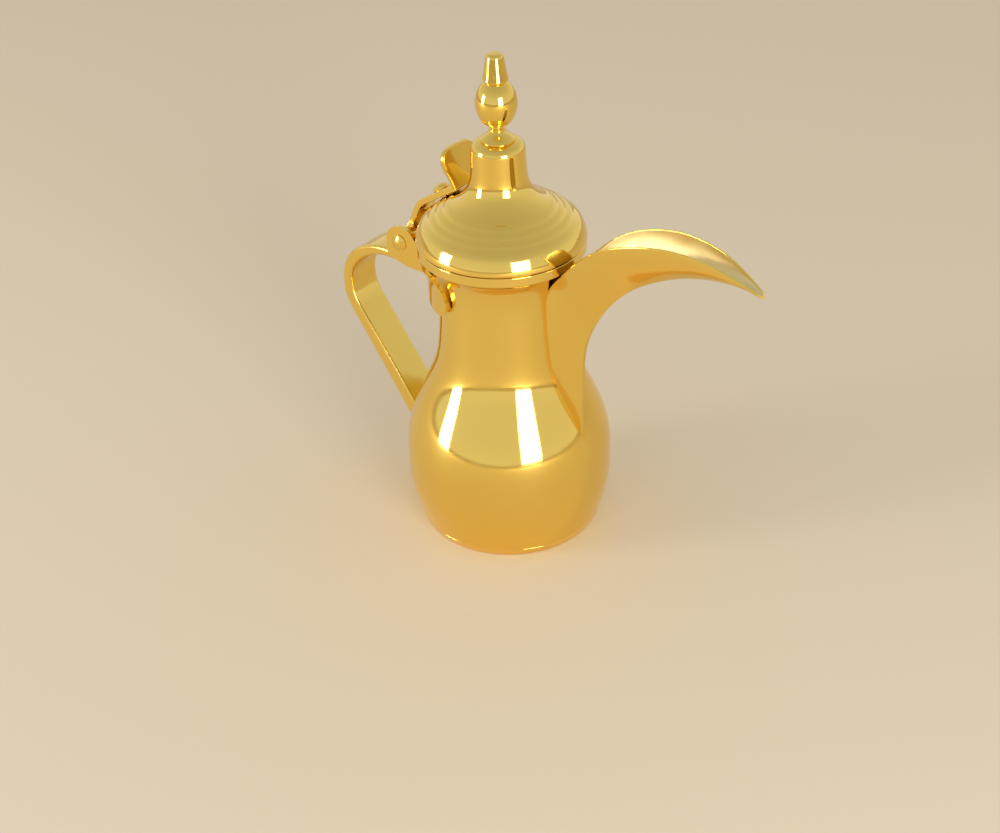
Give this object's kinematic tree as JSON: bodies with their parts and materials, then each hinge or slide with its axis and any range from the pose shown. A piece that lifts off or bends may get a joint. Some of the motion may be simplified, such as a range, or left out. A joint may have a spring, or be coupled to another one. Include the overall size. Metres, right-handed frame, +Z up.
{
  "type": "dallah coffee pot",
  "caption": "Spouted coffee pot with a hinged domed lid, crescent pouring spout and side handle, for brewing and serving coffee.",
  "frame": {"origin": "centre of the flat base, on the surface it stands on", "axes": "+Z up along the pot's axis; +X towards the spout; the handle and the lid hinge are on the -X side; the hinge pin runs along Y"},
  "size_m": [0.2673, 0.1106, 0.2698],
  "materials": {
    "base_cap": "mirror polished",
    "belly_shell": "mirror polished",
    "neck_shell": "mirror polished",
    "rim_collar": "mirror polished",
    "spout": "mirror polished",
    "handle": "mirror polished",
    "hinge_bracket": "mirror polished",
    "hinge_pin": "mirror polished",
    "lid_lever": "mirror polished",
    "lever_rivet": "mirror polished",
    "lid_shell": "mirror polished",
    "lid_skirt": "mirror polished",
    "finial_base": "mirror polished",
    "finial_egg": "mirror polished",
    "finial_tip": "mirror polished",
    "finial_stud": "mirror polished",
    "finial_washer": "mirror polished",
    "finial_nut": "mirror polished"
  },
  "bodies": {
    "pot": {"base_cap": "base_cap", "belly_shell": "belly_shell", "neck_shell": "neck_shell", "rim_collar": "rim_collar", "spout": "spout", "handle": "handle", "hinge_bracket": "hinge_bracket", "hinge_pin": "hinge_pin"},
    "lid": {"lid_lever": "lid_lever", "lever_rivet": "lever_rivet", "lid_shell": "lid_shell", "lid_skirt": "lid_skirt", "finial_base": "finial_base", "finial_egg": "finial_egg", "finial_tip": "finial_tip", "finial_stud": "finial_stud", "finial_washer": "finial_washer", "finial_nut": "finial_nut"}
  },
  "joints": [
    {"name": "lid_hinge", "type": "hinge", "parent": "pot", "child": "lid", "pos_m": [-0.0606, 0, 0.152], "axis": [0, -1, 0], "range_deg": [0, 105]}
  ]
}
